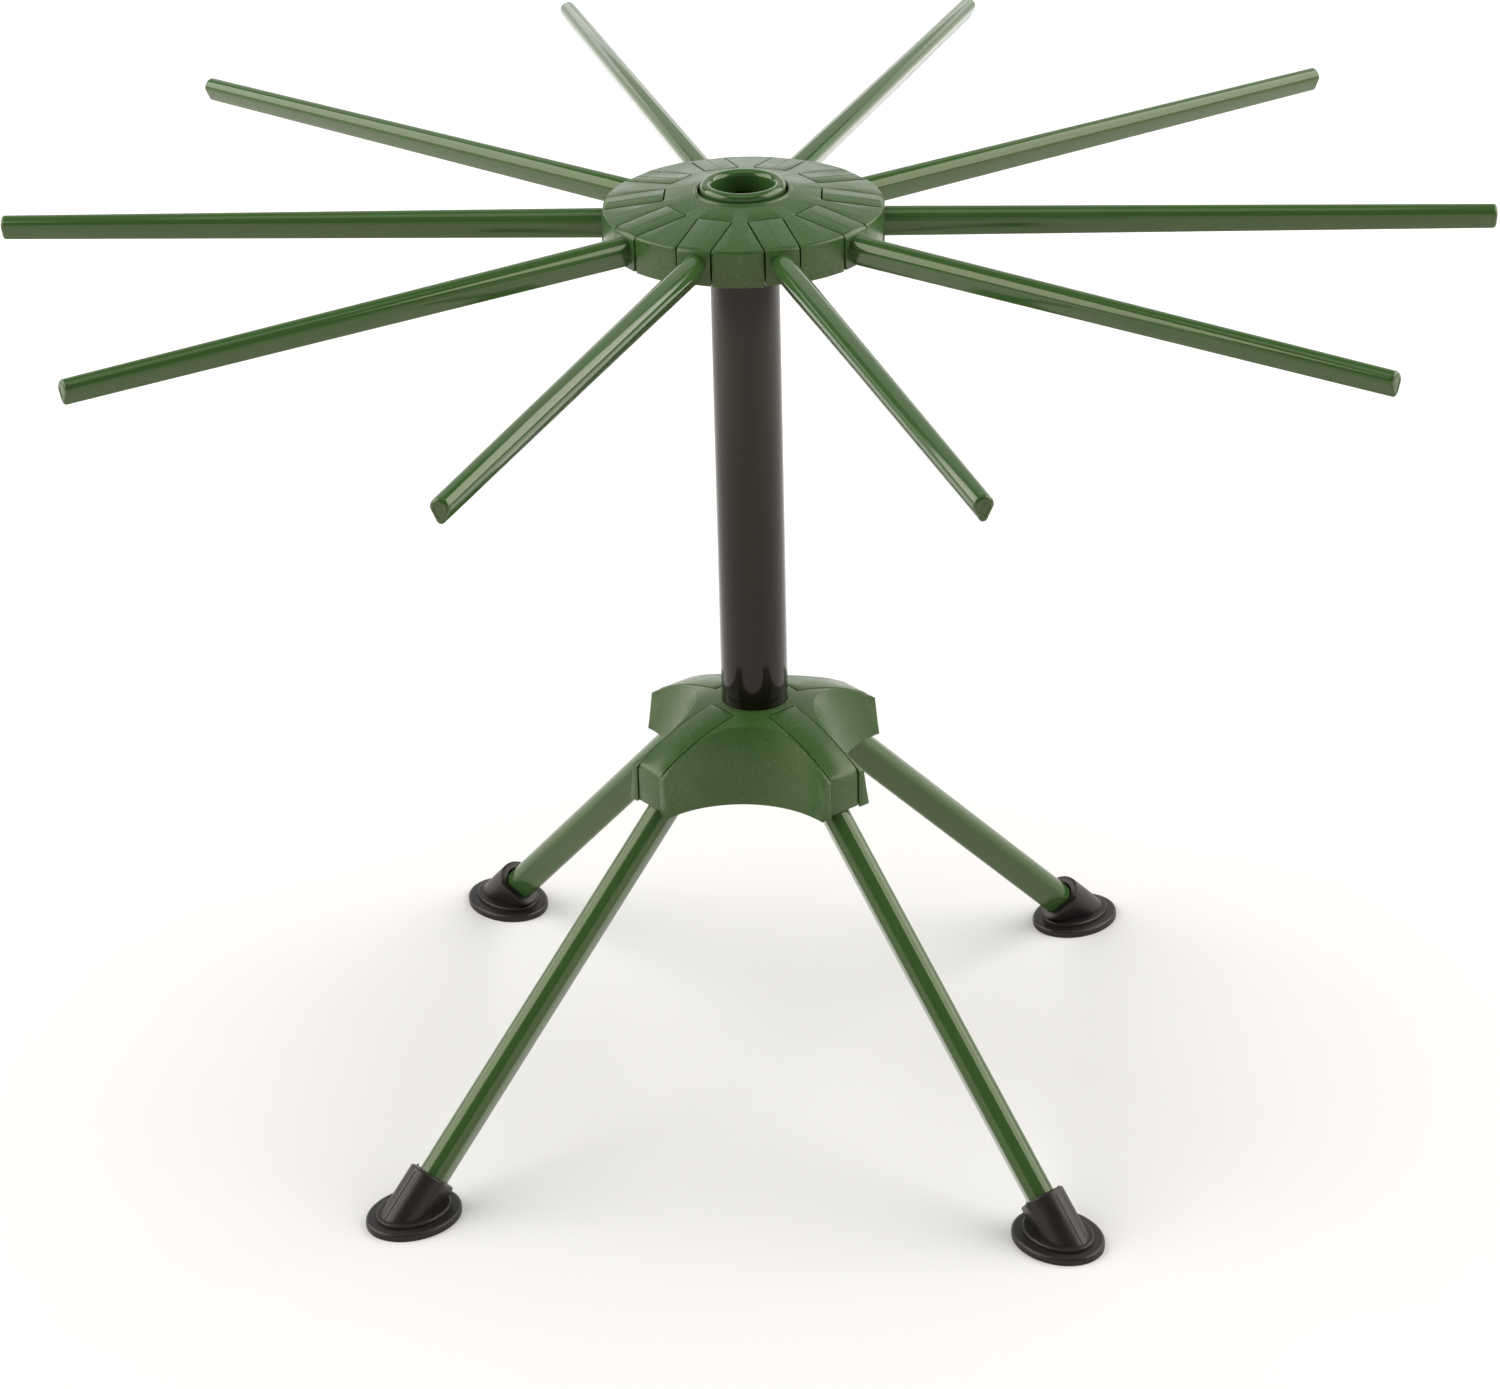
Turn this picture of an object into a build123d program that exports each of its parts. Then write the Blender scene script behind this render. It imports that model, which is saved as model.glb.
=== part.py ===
from build123d import *
from math import cos, radians, sin, sqrt, tan
import os

# Driving sizes, in millimetres and degrees.
# The origin is on the surface that the rack stands on, under the column's axis, and +Z is up.
# The legs stand on the diagonals between X and Y, and the hub is turned a little on its column.

# Legs: each is a block with two moulded trunnions, and a rod of drop-shaped section
leg_count = 4
first_leg_turn = 45.0
leg_splay = 45.0
leg_length = 170.4
leg_pin_reach = 21.0
leg_width = 8.8
leg_height = 10.8
leg_nose = 2.0
leg_end_gap = 9.4
leg_end_bevel = 0.6
leg_knuckle_width = 10.4
leg_knuckle_setback = 0.3
leg_knuckle_lift = 0.6
leg_knuckle_round = 1.6
leg_knuckle_corner = 0.9
leg_barrel_radius = 7.9
leg_trunnion_radius = 2.6
leg_trunnion_length = 2.0

# Base: a domed star with hollow sides
base_crown_over_pin = 11.8
base_foot_under_pin = 13.0
base_dome_radius = 80.0
base_arm_reach = 42.8
base_arm_foot_half = 9.5
base_arm_crown_half = 6.4
base_waist_foot = 26.5
base_waist_crown = 17.7
base_skin = 2.2
base_wall = 2.1
base_edge_round = 0.9
base_corner_round = 1.4
base_slot_gap = 0.4
base_slot_start = 12.6
base_slot_corner = 1.0
base_socket_wall = 2.1
base_floor = 1.7
base_plate_thickness = 1.8
base_plate_gap = 0.2
base_plate_reach = 32.0
base_screw_reach = 14.6
base_screw_boss_height = 12.5

# Column: a plain round tube
column_radius = 10.3
column_bore_radius = 9.5
column_length = 182.6
column_gap = 0.05
column_end_chamfer = 0.3

# Hub: a shallow cone with an upright rim
hub_radius = 41.5
hub_rim_under_column_top = 0.2
hub_cone_slope = 8.3
hub_wall_height = 11.2
hub_skin = 2.2
hub_wall = 2.2
hub_rim_round = 0.8
hub_foot_round = 0.6
hub_eye_radius = 13.4
hub_boss_wall = 2.4
hub_lip_width = 1.3
hub_lip_height = 0.4
hub_slot_gap = 0.5
hub_slot_start = 22.9
hub_slot_corner = 1.2
hub_screw_count = 5
hub_screw_reach = 35.6
retainer_thickness = 1.8
retainer_recess = 0.4
retainer_gap = 0.15

# Arms: each is a block with two moulded trunnions, and a tapered rod of drop-shaped section
arm_count = 10
hub_turn = 3.3
arm_reach = 220.0
arm_pin_under_rim = 4.9
arm_axis_under_rim = 6.0
arm_root_width = 7.2
arm_root_height = 9.0
arm_root_nose = 1.5
arm_tip_width = 5.7
arm_tip_height = 7.3
arm_tip_nose = 1.2
arm_end_bevel = 0.6
arm_knuckle_width = 10.0
arm_knuckle_lift = 0.6
arm_knuckle_round = 1.6
arm_knuckle_corner = 0.9
arm_barrel_radius = 7.9
arm_trunnion_radius = 1.9
arm_trunnion_length = 2.0

# Collar: a ring with a round bead on the column's top
collar_eye_radius = 9.1
collar_sleeve_radius = 12.5
collar_bead_radius = 1.8
collar_bead_bulge = 0.2
collar_cap_height = 6.4
collar_foot_radius = 15.6
collar_foot_thickness = 2.0

# Hinge fits and small screws
pin_gap = 0.08
pin_end_gap = 0.25
post_gap = 0.1
screw_radius = 1.25
screw_gap = 0.05
screw_length = 8.0
screw_tip_gap = 0.4
screw_head_radius = 2.4
screw_head_height = 1.5
screw_head_bevel = 0.5
screw_drive_width = 0.7
screw_drive_length = 2.6
screw_drive_depth = 0.7
screw_boss_wall = 1.5

# Plug in the column's foot, and the screw that draws it down
plug_length = 14.0
column_screw_radius = 2.0
column_screw_length = 13.0
column_screw_head_radius = 3.8
column_screw_head_height = 1.8
column_screw_head_bevel = 0.5
column_screw_head_gap = 0.4
column_screw_drive_width = 1.0
column_screw_drive_length = 4.6

# Rubber feet: an oval flange with a step, and a slanted boot over the leg's end
foot_inset = 2.5
flange_half_length = 15.6
flange_half_width = 12.7
flange_thickness = 2.4
flange_round = 1.0
step_inset = 3.2
step_height = 1.2
step_bevel = 0.5
boot_wall = 2.5
boot_mouth_gap = 15.4
boot_mouth_round = 0.9
boot_gap = 0.1
boot_slack = 0.6

# How far a cutting tool runs past what it cuts
overrun = 5.0

# Places and widths worked out from the sizes above
leg_pin_height = leg_length * cos(radians(leg_splay))
leg_landing = leg_pin_reach + leg_length * sin(radians(leg_splay))
leg_knuckle_start = base_slot_start + base_slot_gap
leg_knuckle_end = base_arm_reach - leg_knuckle_setback
foot_reach = leg_landing - foot_inset
base_crown = leg_pin_height + base_crown_over_pin
base_foot = leg_pin_height - base_foot_under_pin
base_height = base_crown - base_foot
base_plate_top = base_foot + base_plate_thickness
base_slot_width = leg_knuckle_width + 2 * base_slot_gap
base_slot_length = base_arm_reach + overrun - base_slot_start
base_cheek = leg_trunnion_length + pin_end_gap
base_side_lean = (base_arm_foot_half - base_arm_crown_half) / base_height
base_waist_lean = (base_waist_foot - base_waist_crown) / base_height
column_bottom = base_plate_top + base_floor
column_top = column_bottom + column_length
hub_rim = column_top - hub_rim_under_column_top
hub_foot = hub_rim - hub_wall_height
hub_slot_width = arm_knuckle_width + 2 * hub_slot_gap
hub_slot_length = hub_radius + overrun - hub_slot_start
hub_cheek = arm_trunnion_length + pin_end_gap
retainer_foot = hub_foot + retainer_recess
retainer_top = retainer_foot + retainer_thickness
collar_foot_top = retainer_top + collar_foot_thickness
collar_top = column_top + collar_cap_height
arm_knuckle_start = hub_slot_start + hub_slot_gap
arm_knuckle_foot = hub_foot + arm_knuckle_lift
arm_pin_reach = arm_knuckle_start + arm_barrel_radius
arm_pin_height = hub_rim - arm_pin_under_rim
arm_axis_height = hub_rim - arm_axis_under_rim
screw_boss_radius = screw_radius + screw_gap + screw_boss_wall
leg_turns = [first_leg_turn + number * 360 / leg_count for number in range(leg_count)]
arm_turns = [hub_turn + number * 360 / arm_count for number in range(arm_count)]
hub_screw_turn = hub_turn + 180 / arm_count
base_screw_turn = first_leg_turn + 180 / leg_count


def hub_top(reach):
    """Height of the hub's cone at a distance from the axis."""
    return hub_rim + (hub_radius - reach) * tan(radians(hub_cone_slope))


def dome_top(reach):
    """Height of the base's dome at a distance from the axis."""
    return base_crown - base_dome_radius + sqrt(base_dome_radius**2 - reach**2)


def upright(turn):
    """The upright plane through the axis at a turn about it: X runs outwards and Y runs up."""
    return Plane(Vector(), Vector(1, 0, 0).rotate(Axis.Z, turn), Vector(0, -1, 0).rotate(Axis.Z, turn))


def drop_section(width, height, nose, slack=0.0):
    """A round back and a narrow nose, joined by flat sides. Slack lengthens it at the back."""
    back = height / 2 - width / 2
    with Locations((0, back)):
        Circle(width / 2)
    with Locations((0, nose - height / 2)):
        Circle(nose)
    if slack > 0:
        with Locations((0, back + slack)):
            Circle(width / 2)
    make_hull(mode=Mode.REPLACE)


def star_face(reach, half_width, waist):
    """A star with a square point along each leg and a hollow side between each two."""
    half_turn = radians(180 / leg_count)
    near = reach * cos(half_turn) + half_width * sin(half_turn)
    side = reach * sin(half_turn) - half_width * cos(half_turn)
    sides = [
        [Vector(x, y).rotate(Axis.Z, base_screw_turn + number * 360 / leg_count)
         for x, y in ((near, -side), (waist, 0), (near, side))]
        for number in range(leg_count)
    ]
    with BuildLine() as outline:
        for number, (start, middle, end) in enumerate(sides):
            ThreePointArc(start, middle, end)
            Line(end, sides[(number + 1) % leg_count][0])
    make_face(outline.edges())


def trunnion_seat(pin_reach, pin_height, radius, foot):
    """The outline of the seat that a trunnion drops into from below: a slot with a round end."""
    with Locations((pin_reach, pin_height)):
        Circle(radius)
    with Locations((pin_reach, foot)):
        Rectangle(2 * radius, pin_height - foot, align=(Align.CENTER, Align.MIN))


def pan_screw(head_foot, head_radius, head_height, head_bevel, radius, length, drive):
    """A round-headed screw that points up, with a cross drive in its head."""
    drive_width, drive_length = drive
    with BuildPart() as screw:
        with BuildSketch(Plane.XY.offset(head_foot)):
            Circle(head_radius)
        extrude(amount=head_height)
        chamfer(screw.edges().group_by(Axis.Z)[0], head_bevel)
        with BuildSketch(Plane.XY.offset(head_foot + head_height)):
            Circle(radius)
        extrude(amount=length)
        with BuildSketch(Plane.XY.offset(head_foot)):
            Rectangle(drive_length, drive_width)
            Rectangle(drive_width, drive_length)
        extrude(amount=screw_drive_depth, mode=Mode.SUBTRACT)
    return screw.part


# Hub cover: one moulding with a conical top, an upright rim and a slot for each arm
with BuildPart() as hub_cover:
    boss_radius = hub_eye_radius + hub_boss_wall
    inner_rim = hub_radius - hub_wall
    with BuildSketch(Plane.XZ):
        with BuildLine():
            Polyline(
                (hub_eye_radius, hub_top(hub_eye_radius)),
                (hub_radius, hub_rim),
                (hub_radius, hub_foot),
                (inner_rim, hub_foot),
                (inner_rim, hub_top(inner_rim) - hub_skin),
                (boss_radius, hub_top(boss_radius) - hub_skin),
                (boss_radius, collar_foot_top),
                (hub_eye_radius, collar_foot_top),
                close=True,
            )
        make_face()
    revolve(axis=Axis.Z)
    rim_edges = hub_cover.edges().filter_by(GeomType.CIRCLE).group_by(SortBy.RADIUS)[-1]
    fillet(rim_edges.sort_by(Axis.Z)[-1], hub_rim_round)
    rim_edges = hub_cover.edges().filter_by(GeomType.CIRCLE).group_by(Axis.Z)[0].sort_by(SortBy.RADIUS)
    fillet(rim_edges[-1], hub_foot_round)
    # The raised lip round the eye
    lip_end = hub_eye_radius + hub_lip_width
    with BuildSketch(Plane.XZ):
        with BuildLine():
            Polyline(
                (lip_end, hub_top(lip_end)),
                (lip_end, hub_top(lip_end) - hub_lip_height),
                (hub_eye_radius, hub_top(lip_end) - hub_lip_height),
                (hub_eye_radius, hub_top(hub_eye_radius) + hub_lip_height / 2),
            )
            ThreePointArc(
                (hub_eye_radius, hub_top(hub_eye_radius) + hub_lip_height / 2),
                (hub_eye_radius + hub_lip_width / 2, hub_top(hub_eye_radius) + hub_lip_height),
                (lip_end, hub_top(lip_end)),
            )
        make_face()
    revolve(axis=Axis.Z)
    # The cheeks at the sides of each slot and the wall at its inner end
    for turn in arm_turns:
        with BuildSketch(upright(turn)):
            with BuildLine():
                Polyline(
                    (hub_slot_start - hub_wall, retainer_top),
                    (hub_radius - hub_wall / 2, retainer_top),
                    (hub_radius - hub_wall / 2, hub_rim - hub_skin / 2),
                    (hub_slot_start - hub_wall, hub_top(hub_slot_start - hub_wall) - hub_skin / 2),
                    close=True,
                )
            make_face()
        extrude(amount=hub_slot_width / 2 + hub_cheek, both=True)
    # The bosses for the screws that hold the retainer
    with BuildSketch(Plane.XY.offset(retainer_top)):
        with PolarLocations(hub_screw_reach, hub_screw_count, start_angle=hub_screw_turn):
            Circle(screw_boss_radius)
    extrude(amount=hub_rim - hub_skin / 2 - retainer_top)
    # The slots, open at the rim and above and below
    with BuildSketch(Plane.XY.offset(hub_foot - overrun)) as arm_slots:
        with PolarLocations(hub_slot_start + hub_slot_length / 2, arm_count, start_angle=hub_turn):
            Rectangle(hub_slot_length, hub_slot_width)
        inner_corners = arm_slots.vertices().filter_by(
            lambda corner: corner.X**2 + corner.Y**2 < hub_radius**2
        )
        fillet(inner_corners, hub_slot_corner)
    extrude(amount=hub_wall_height + 4 * overrun, mode=Mode.SUBTRACT)
    # The seats that the trunnions drop into, and the pilot holes
    for turn in arm_turns:
        with BuildSketch(upright(turn)):
            trunnion_seat(arm_pin_reach, arm_pin_height, arm_trunnion_radius + pin_gap, hub_foot)
        extrude(amount=hub_slot_width / 2 + hub_cheek + pin_end_gap, both=True, mode=Mode.SUBTRACT)
    with BuildSketch(Plane.XY.offset(retainer_foot)):
        with PolarLocations(hub_screw_reach, hub_screw_count, start_angle=hub_screw_turn):
            Circle(screw_radius + screw_gap)
    extrude(amount=screw_length + screw_tip_gap, mode=Mode.SUBTRACT)

# Hub retainer: the plate under the cover, whose posts close the trunnion seats
with BuildPart() as hub_retainer:
    with BuildSketch(Plane.XY.offset(retainer_foot)):
        Circle(inner_rim - retainer_gap)
        Circle(column_radius + column_gap, mode=Mode.SUBTRACT)
        with PolarLocations(hub_slot_start + hub_slot_length / 2, arm_count, start_angle=hub_turn):
            Rectangle(hub_slot_length, hub_slot_width, mode=Mode.SUBTRACT)
        with PolarLocations(hub_screw_reach, hub_screw_count, start_angle=hub_screw_turn):
            Circle(screw_radius + screw_gap, mode=Mode.SUBTRACT)
    extrude(amount=retainer_thickness)
    for turn in arm_turns:
        with BuildSketch(Plane.XY.offset(retainer_top).rotated((0, 0, turn))):
            with Locations((arm_pin_reach, (hub_slot_width + hub_cheek) / 2),
                           (arm_pin_reach, -(hub_slot_width + hub_cheek) / 2)):
                Rectangle(2 * arm_trunnion_radius, hub_cheek - 2 * post_gap)
        extrude(amount=arm_pin_height - arm_trunnion_radius - pin_gap - retainer_top)

# Hub screws: one into each boss of the cover
hub_screw = pan_screw(
    retainer_foot - screw_head_height, screw_head_radius, screw_head_height, screw_head_bevel,
    screw_radius, screw_length, (screw_drive_width, screw_drive_length),
)
with BuildPart() as hub_screws:
    with PolarLocations(hub_screw_reach, hub_screw_count, start_angle=hub_screw_turn):
        add(hub_screw)

# Collar: a ring with a round bead, whose foot is held between the cover and the retainer
with BuildPart() as top_collar:
    bead_middle = collar_top - collar_bead_radius
    bead_end = collar_sleeve_radius + collar_bead_bulge
    with BuildSketch(Plane.XZ):
        with BuildLine():
            Polyline(
                (bead_end, bead_middle),
                (collar_sleeve_radius, bead_middle - collar_bead_radius),
                (collar_sleeve_radius, collar_foot_top),
                (collar_foot_radius, collar_foot_top),
                (collar_foot_radius, retainer_top),
                (column_radius + column_gap, retainer_top),
                (column_radius + column_gap, column_top),
                (collar_eye_radius, column_top),
                (collar_eye_radius, bead_middle),
            )
            ThreePointArc(
                (collar_eye_radius, bead_middle),
                ((collar_eye_radius + bead_end) / 2, collar_top),
                (bead_end, bead_middle),
            )
        make_face()
    revolve(axis=Axis.Z)

# Column: a plain tube between the base's socket and the collar
with BuildPart() as column:
    with BuildSketch(Plane.XY.offset(column_bottom)):
        Circle(column_radius)
        Circle(column_bore_radius, mode=Mode.SUBTRACT)
    extrude(amount=column_length)
    chamfer(column.edges().filter_by(GeomType.CIRCLE), column_end_chamfer)

# Column plug: fills the tube's foot and takes the column screw
with BuildPart() as column_plug:
    with BuildSketch(Plane.XY.offset(column_bottom)):
        Circle(column_bore_radius - column_gap)
        Circle(column_screw_radius + screw_gap, mode=Mode.SUBTRACT)
    extrude(amount=plug_length)

# Column screw: up through the base's floor into the plug
with BuildPart() as column_screw:
    add(pan_screw(
        base_plate_top - column_screw_head_height, column_screw_head_radius, column_screw_head_height,
        column_screw_head_bevel, column_screw_radius, column_screw_length,
        (column_screw_drive_width, column_screw_drive_length),
    ))

# The room inside the base's walls and under its skin
with BuildPart() as base_hollow:
    with BuildSketch(Plane.XY.offset(base_foot)):
        star_face(
            base_arm_reach - base_wall, base_arm_foot_half - base_wall, base_waist_foot - base_wall
        )
    with BuildSketch(Plane.XY.offset(base_crown)):
        star_face(
            base_arm_reach - base_wall, base_arm_crown_half - base_wall, base_waist_crown - base_wall
        )
    loft(ruled=True)
    with BuildSketch(Plane.XZ):
        with BuildLine():
            edge = base_arm_reach + base_wall
            Line((0, dome_top(0) - base_skin), (0, base_foot - overrun))
            Line((0, base_foot - overrun), (edge, base_foot - overrun))
            Line((edge, base_foot - overrun), (edge, dome_top(edge) - base_skin))
            ThreePointArc(
                (edge, dome_top(edge) - base_skin),
                (edge / 2, dome_top(edge / 2) - base_skin),
                (0, dome_top(0) - base_skin),
            )
        make_face()
    revolve(axis=Axis.Z, mode=Mode.INTERSECT)

# Base housing: a domed star, open below, with a slot for each leg and a socket for the column
with BuildPart() as base_housing:
    with BuildSketch(Plane.XY.offset(base_foot)) as foot_star:
        star_face(base_arm_reach, base_arm_foot_half, base_waist_foot)
        fillet(foot_star.vertices(), base_corner_round)
    with BuildSketch(Plane.XY.offset(base_crown)) as crown_star:
        star_face(base_arm_reach, base_arm_crown_half, base_waist_crown)
        fillet(crown_star.vertices(), base_corner_round)
    loft(ruled=True)
    with BuildSketch(Plane.XZ):
        with BuildLine():
            edge = base_arm_reach + base_wall
            Line((0, base_crown), (0, base_foot - overrun))
            Line((0, base_foot - overrun), (edge, base_foot - overrun))
            Line((edge, base_foot - overrun), (edge, dome_top(edge)))
            ThreePointArc((edge, dome_top(edge)), (edge / 2, dome_top(edge / 2)), (0, base_crown))
        make_face()
    revolve(axis=Axis.Z, mode=Mode.INTERSECT)
    dome_edges = base_housing.edges().filter_by(
        lambda edge: edge.bounding_box().min.Z > dome_top(base_arm_reach + base_wall) - base_edge_round
    )
    fillet(dome_edges, base_edge_round)
    add(base_hollow.part, mode=Mode.SUBTRACT)
    # The cheeks at the sides of each slot
    for turn in leg_turns:
        with BuildSketch(upright(turn)):
            inner = base_slot_start - base_socket_wall
            outer = base_arm_reach - base_wall / 2
            middle = (inner + outer) / 2
            with BuildLine():
                Line((inner, dome_top(inner) - base_skin / 2), (inner, base_plate_top))
                Line((inner, base_plate_top), (outer, base_plate_top))
                Line((outer, base_plate_top), (outer, dome_top(outer) - base_skin / 2))
                ThreePointArc(
                    (outer, dome_top(outer) - base_skin / 2),
                    (middle, dome_top(middle) - base_skin / 2),
                    (inner, dome_top(inner) - base_skin / 2),
                )
            make_face()
        extrude(amount=base_slot_width / 2 + base_cheek, both=True)
    # The column's socket and the screw bosses
    with BuildSketch(Plane.XY.offset(base_plate_top)):
        Circle(column_radius + column_gap + base_socket_wall)
    extrude(amount=base_height - base_plate_thickness - base_skin)
    with BuildSketch(Plane.XY.offset(base_plate_top)):
        with PolarLocations(base_screw_reach, leg_count, start_angle=base_screw_turn):
            Circle(screw_boss_radius)
    extrude(amount=base_screw_boss_height)
    # The slots, open above, below and at the star's points
    with BuildSketch(Plane.XY.offset(base_foot - overrun)) as leg_slots:
        with PolarLocations(base_slot_start + base_slot_length / 2, leg_count, start_angle=first_leg_turn):
            Rectangle(base_slot_length, base_slot_width)
        inner_corners = leg_slots.vertices().filter_by(
            lambda corner: corner.X**2 + corner.Y**2 < base_waist_foot**2
        )
        fillet(inner_corners, base_slot_corner)
    extrude(amount=base_height + 2 * overrun, mode=Mode.SUBTRACT)
    # The trunnion seats
    for turn in leg_turns:
        with BuildSketch(upright(turn)):
            trunnion_seat(leg_pin_reach, leg_pin_height, leg_trunnion_radius + pin_gap, base_foot)
        extrude(amount=base_slot_width / 2 + base_cheek + pin_end_gap, both=True, mode=Mode.SUBTRACT)
    # The bore for the column, the hole for its screw and the pilot holes
    with BuildSketch(Plane.XY.offset(column_bottom)):
        Circle(column_radius + column_gap)
    extrude(amount=base_height, mode=Mode.SUBTRACT)
    with BuildSketch(Plane.XY.offset(base_foot)):
        Circle(column_screw_radius + screw_gap)
        with PolarLocations(base_screw_reach, leg_count, start_angle=base_screw_turn):
            Circle(screw_radius + screw_gap)
    extrude(amount=screw_length + screw_tip_gap, mode=Mode.SUBTRACT)

# Base plate: closes the housing from below, and its posts close the trunnion seats
with BuildPart() as base_plate:
    inset = base_wall + base_plate_gap
    with BuildSketch(Plane.XY.offset(base_foot)):
        star_face(
            base_plate_reach,
            base_arm_foot_half - inset - base_side_lean * base_plate_thickness,
            base_waist_foot - inset - base_waist_lean * base_plate_thickness,
        )
        with PolarLocations(base_slot_start + base_slot_length / 2, leg_count, start_angle=first_leg_turn):
            Rectangle(base_slot_length, base_slot_width, mode=Mode.SUBTRACT)
        Circle(column_screw_head_radius + column_screw_head_gap, mode=Mode.SUBTRACT)
        with PolarLocations(base_screw_reach, leg_count, start_angle=base_screw_turn):
            Circle(screw_radius + screw_gap, mode=Mode.SUBTRACT)
    extrude(amount=base_plate_thickness)
    for turn in leg_turns:
        with BuildSketch(Plane.XY.offset(base_plate_top).rotated((0, 0, turn))):
            with Locations((leg_pin_reach, (base_slot_width + base_cheek) / 2),
                           (leg_pin_reach, -(base_slot_width + base_cheek) / 2)):
                Rectangle(2 * leg_trunnion_radius, base_cheek - 2 * post_gap)
        extrude(amount=leg_pin_height - leg_trunnion_radius - pin_gap - base_plate_top)

# Base screws: one into each boss of the housing
base_screw = pan_screw(
    base_foot - screw_head_height, screw_head_radius, screw_head_height, screw_head_bevel,
    screw_radius, screw_length, (screw_drive_width, screw_drive_length),
)
with BuildPart() as base_screws:
    with PolarLocations(base_screw_reach, leg_count, start_angle=base_screw_turn):
        add(base_screw)

# Arm: the block that turns in the hub's slot, its trunnions, and the tapered rod
with BuildPart() as arm:
    block_foot = arm_pin_height - arm_knuckle_foot
    barrel_end = arm_pin_reach - sqrt(arm_barrel_radius**2 - block_foot**2)
    with BuildSketch(Plane.XZ) as arm_block:
        with BuildLine():
            Polyline(
                (arm_knuckle_start, arm_pin_height),
                (arm_knuckle_start, hub_top(arm_knuckle_start)),
                (hub_radius, hub_rim),
                (hub_radius, arm_knuckle_foot),
                (barrel_end, arm_knuckle_foot),
            )
            RadiusArc(
                (barrel_end, arm_knuckle_foot), (arm_knuckle_start, arm_pin_height), arm_barrel_radius
            )
        make_face()
        fillet(arm_block.vertices().group_by(Axis.X)[-1].sort_by(Axis.Y)[-1], arm_knuckle_round)
    extrude(amount=arm_knuckle_width / 2, both=True)
    fillet(arm.edges().filter_by(Axis.Z), arm_knuckle_corner)
    with BuildSketch(Plane((hub_radius - arm_knuckle_round, 0, arm_axis_height), (0, 1, 0), (1, 0, 0))):
        drop_section(arm_root_width, arm_root_height, arm_root_nose)
    with BuildSketch(Plane((arm_reach - arm_end_bevel, 0, arm_axis_height), (0, 1, 0), (1, 0, 0))):
        drop_section(arm_tip_width, arm_tip_height, arm_tip_nose)
    with BuildSketch(Plane((arm_reach, 0, arm_axis_height), (0, 1, 0), (1, 0, 0))):
        drop_section(
            arm_tip_width - 2 * arm_end_bevel, arm_tip_height - 2 * arm_end_bevel, arm_tip_nose - arm_end_bevel
        )
    loft(ruled=True)
    with BuildSketch(Plane.XZ):
        with Locations((arm_pin_reach, arm_pin_height)):
            Circle(arm_trunnion_radius)
    extrude(amount=hub_slot_width / 2 + arm_trunnion_length, both=True)

# Leg: the block that turns in the base's slot, its trunnions, and the slanted rod
with BuildPart() as leg:
    leg_block_foot = base_foot + leg_knuckle_lift
    block_middle = (leg_knuckle_start + leg_knuckle_end) / 2
    leg_direction = (sin(radians(leg_splay)), 0, -cos(radians(leg_splay)))
    leg_plane = Plane((leg_pin_reach, 0, leg_pin_height), (0, 1, 0), leg_direction)
    with BuildSketch(Plane.XZ) as leg_block:
        with BuildLine():
            Polyline(
                (leg_knuckle_end, dome_top(leg_knuckle_end)),
                (leg_knuckle_end, leg_block_foot),
                (leg_pin_reach + leg_barrel_radius, leg_block_foot),
                (leg_pin_reach, leg_pin_height - leg_barrel_radius),
            )
            RadiusArc(
                (leg_pin_reach, leg_pin_height - leg_barrel_radius),
                (leg_pin_reach - leg_barrel_radius, leg_pin_height),
                leg_barrel_radius,
            )
            Line(
                (leg_pin_reach - leg_barrel_radius, leg_pin_height),
                (leg_knuckle_start, dome_top(leg_knuckle_start)),
            )
            ThreePointArc(
                (leg_knuckle_start, dome_top(leg_knuckle_start)),
                (block_middle, dome_top(block_middle)),
                (leg_knuckle_end, dome_top(leg_knuckle_end)),
            )
        make_face()
        fillet(leg_block.vertices().group_by(Axis.X)[-1].sort_by(Axis.Y)[-1], leg_knuckle_round)
    extrude(amount=leg_knuckle_width / 2, both=True)
    end_edges = leg.faces().sort_by(Axis.X)[-1].edges().filter_by(Axis.Z)
    fillet(end_edges, leg_knuckle_corner)
    with BuildSketch(leg_plane):
        drop_section(leg_width, leg_height, leg_nose)
    extrude(amount=leg_length - leg_end_gap)
    chamfer(leg.faces().sort_by(Axis((0, 0, 0), leg_direction))[-1].edges(), leg_end_bevel)
    with BuildSketch(Plane.XZ):
        with Locations((leg_pin_reach, leg_pin_height)):
            Circle(leg_trunnion_radius)
    extrude(amount=base_slot_width / 2 + leg_trunnion_length, both=True)

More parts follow.
